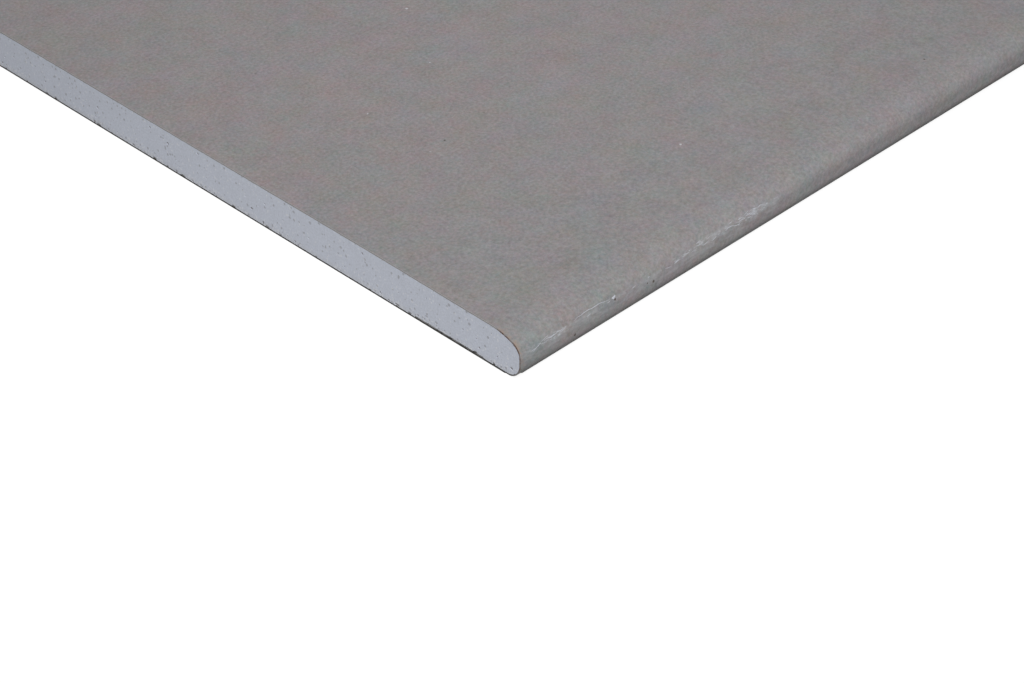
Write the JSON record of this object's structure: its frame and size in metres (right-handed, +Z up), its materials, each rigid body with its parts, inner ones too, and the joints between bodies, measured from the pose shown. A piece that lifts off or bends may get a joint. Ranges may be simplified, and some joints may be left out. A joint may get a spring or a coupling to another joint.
{
  "type": "drywall sheet",
  "caption": "Paper-faced gypsum board with tapered half-round long edges and square-cut ends.",
  "frame": {"origin": "middle of the back, the side that the sheet lies on", "axes": "+X along the sheet's length, parallel to the paper-wrapped long edges; +Y across its width; +Z up through its thickness, out of the face side"},
  "size_m": [2, 1.25, 0.0125],
  "materials": {
    "gypsum": "matte",
    "face_paper": "matte",
    "back_paper": "matte"
  },
  "bodies": {
    "root": {"gypsum_core": "gypsum", "face_paper": "face_paper", "back_paper": "back_paper"}
  },
  "joints": []
}
